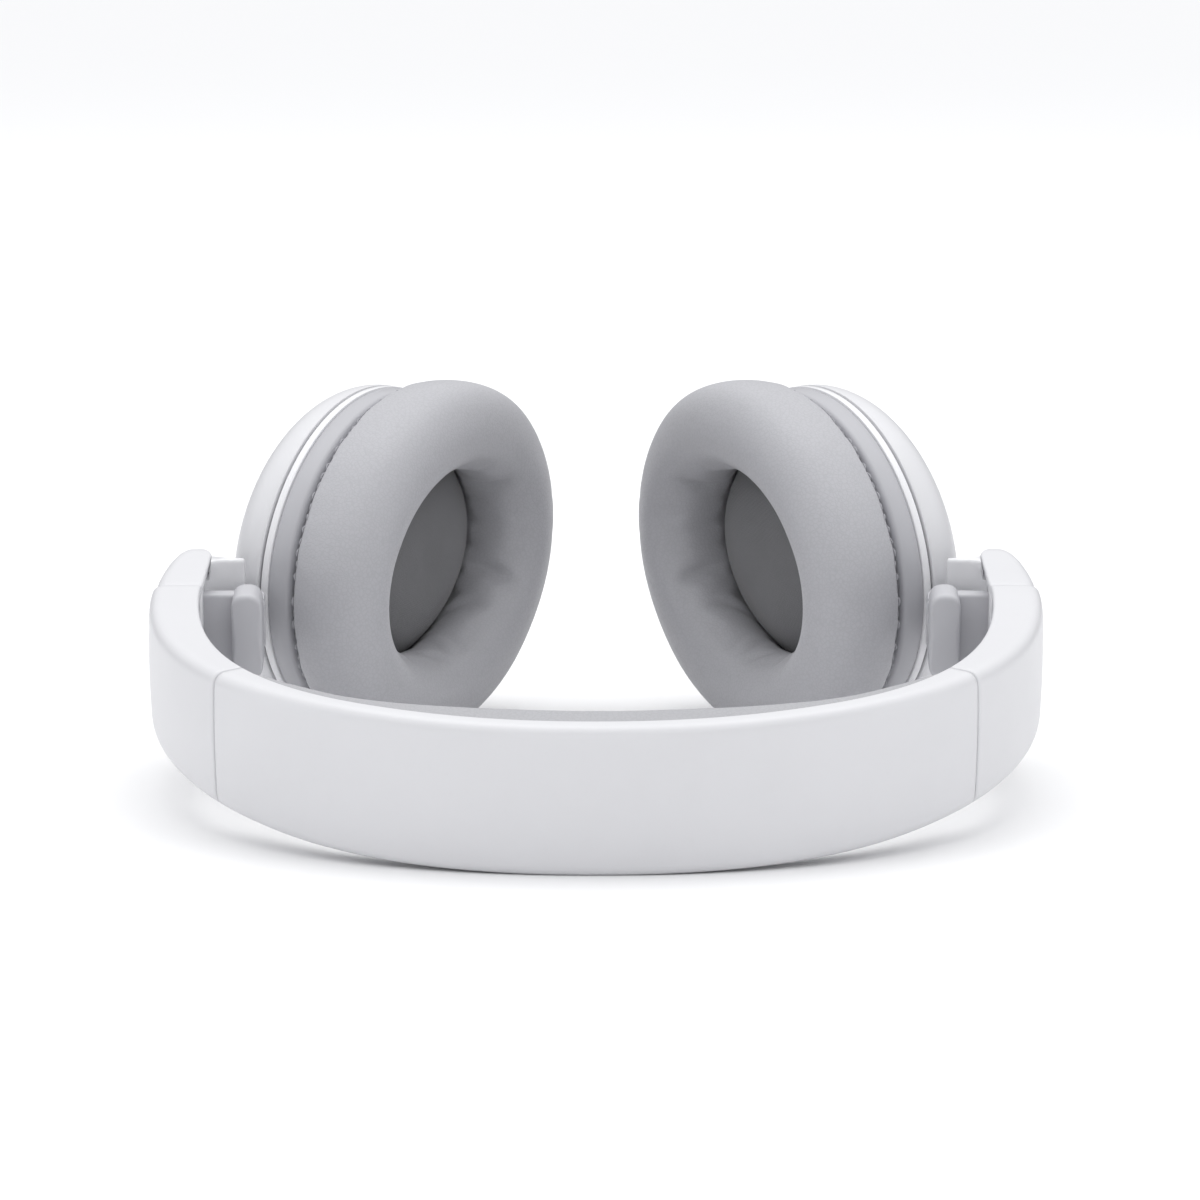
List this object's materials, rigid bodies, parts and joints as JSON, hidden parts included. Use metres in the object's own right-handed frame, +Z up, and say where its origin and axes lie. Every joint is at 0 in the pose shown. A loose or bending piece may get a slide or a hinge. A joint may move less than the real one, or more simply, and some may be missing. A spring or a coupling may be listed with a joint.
{
  "type": "over-ear headphones",
  "caption": "Wireless over-ear headphones with a padded headband, sliding arms, and cups that swivel and tilt, cushioned round the ears.",
  "frame": {"origin": "centre of the footprint, on the table the headphones lie on", "axes": "+X towards the wearer's right, -Y towards the crown of the headband, +Z up, close to the wearer's front"},
  "size_m": [0.1786, 0.2006, 0.0755],
  "materials": {
    "white_plastic": "soft satin, very fine grain",
    "grey_plastic": "satin",
    "leatherette": "smooth matte leatherette",
    "spring_steel": "fine brushed",
    "screw_steel": "turned",
    "dark_plastic": "satin",
    "nickel": "plated",
    "membrane": "satin film",
    "ear_cloth": "fine woven mesh",
    "battery_foil": "wrapped foil",
    "board": "solder mask",
    "lens": "clear diffuser",
    "button_plastic": "satin"
  },
  "bodies": {
    "headband": {"headband_shell": "white_plastic", "headband_pad": "leatherette", "spring_band": "spring_steel", "left_arm_cover": "white_plastic", "right_arm_cover": "white_plastic", "left_inner_cover": "grey_plastic", "right_inner_cover": "grey_plastic", "left_rail_guide": "dark_plastic", "right_rail_guide": "dark_plastic", "left_detent_spring": "spring_steel", "right_detent_spring": "spring_steel", "left_band_anchor": "dark_plastic", "right_band_anchor": "dark_plastic", "left_arm_screws": "screw_steel", "right_arm_screws": "screw_steel"},
    "left_slider": {"left_slider_strip": "spring_steel", "left_slider_tip": "white_plastic", "left_hanger": "white_plastic", "left_hanger_screws": "screw_steel"},
    "left_knuckle": {"left_knuckle": "white_plastic", "left_knuckle_clip": "spring_steel"},
    "left_cup": {"left_tilt_pin": "spring_steel", "left_cup_bracket": "spring_steel", "left_housing": "white_plastic", "left_baffle": "white_plastic", "left_cushion_ring": "grey_plastic", "left_cushion": "leatherette", "left_driver_frame": "dark_plastic", "left_driver_magnet": "nickel", "left_diaphragm": "membrane", "left_scrim": "ear_cloth", "left_housing_screws": "screw_steel", "left_mic_mesh": "ear_cloth", "battery": "battery_foil", "charge_board": "board", "jack_socket": "dark_plastic", "usb_port": "nickel", "status_lens": "lens"},
    "right_slider": {"right_slider_strip": "spring_steel", "right_slider_tip": "white_plastic", "right_hanger": "white_plastic", "right_hanger_screws": "screw_steel"},
    "right_knuckle": {"right_knuckle": "white_plastic", "right_knuckle_clip": "spring_steel"},
    "right_cup": {"right_tilt_pin": "spring_steel", "right_cup_bracket": "spring_steel", "right_housing": "white_plastic", "right_baffle": "white_plastic", "right_cushion_ring": "grey_plastic", "right_cushion": "leatherette", "right_driver_frame": "dark_plastic", "right_driver_magnet": "nickel", "right_diaphragm": "membrane", "right_scrim": "ear_cloth", "right_housing_screws": "screw_steel", "right_mic_mesh": "ear_cloth", "main_board": "board"},
    "power_button": {"power_button": "button_plastic"},
    "mode_button": {"mode_button": "button_plastic"},
    "volume_up_button": {"volume_up_button": "button_plastic"},
    "play_button": {"play_button": "button_plastic"},
    "volume_down_button": {"volume_down_button": "button_plastic"}
  },
  "joints": [
    {"name": "left_slide", "type": "slide", "parent": "headband", "child": "left_slider", "axis": [-0.0314, 0.9871, 0.1572], "range_m": [0, 0.025]},
    {"name": "left_swivel", "type": "hinge", "parent": "left_slider", "child": "left_knuckle", "pos_m": [-0.071, 0.01204, 0.03146], "axis": [-0.0314, 0.9871, 0.1572], "range_deg": [-15, 15]},
    {"name": "left_tilt", "type": "hinge", "parent": "left_knuckle", "child": "left_cup", "pos_m": [-0.071, 0.01204, 0.03146], "axis": [0, -0.1572, 0.9876], "range_deg": [-10, 10]},
    {"name": "right_slide", "type": "slide", "parent": "headband", "child": "right_slider", "axis": [0.0314, 0.9871, 0.1572], "range_m": [0, 0.025]},
    {"name": "right_swivel", "type": "hinge", "parent": "right_slider", "child": "right_knuckle", "pos_m": [0.071, 0.01204, 0.03146], "axis": [0.0314, 0.9871, 0.1572], "range_deg": [-15, 15]},
    {"name": "right_tilt", "type": "hinge", "parent": "right_knuckle", "child": "right_cup", "pos_m": [0.071, 0.01204, 0.03146], "axis": [0, -0.1572, 0.9876], "range_deg": [-10, 10]},
    {"name": "power_button_press", "type": "slide", "parent": "left_cup", "child": "power_button", "axis": [0, -0.1572, 0.9876], "range_m": [0, 0.0004], "stiffness_N_per_m": 1500, "springref_m": -0.0004},
    {"name": "mode_button_press", "type": "slide", "parent": "left_cup", "child": "mode_button", "axis": [0, -0.1572, 0.9876], "range_m": [0, 0.0004], "stiffness_N_per_m": 1500, "springref_m": -0.0004},
    {"name": "volume_up_button_press", "type": "slide", "parent": "right_cup", "child": "volume_up_button", "axis": [0, -0.1572, 0.9876], "range_m": [0, 0.0004], "stiffness_N_per_m": 1500, "springref_m": -0.0004},
    {"name": "play_button_press", "type": "slide", "parent": "right_cup", "child": "play_button", "axis": [0, -0.1572, 0.9876], "range_m": [0, 0.0004], "stiffness_N_per_m": 1500, "springref_m": -0.0004},
    {"name": "volume_down_button_press", "type": "slide", "parent": "right_cup", "child": "volume_down_button", "axis": [0, -0.1572, 0.9876], "range_m": [0, 0.0004], "stiffness_N_per_m": 1500, "springref_m": -0.0004}
  ]
}
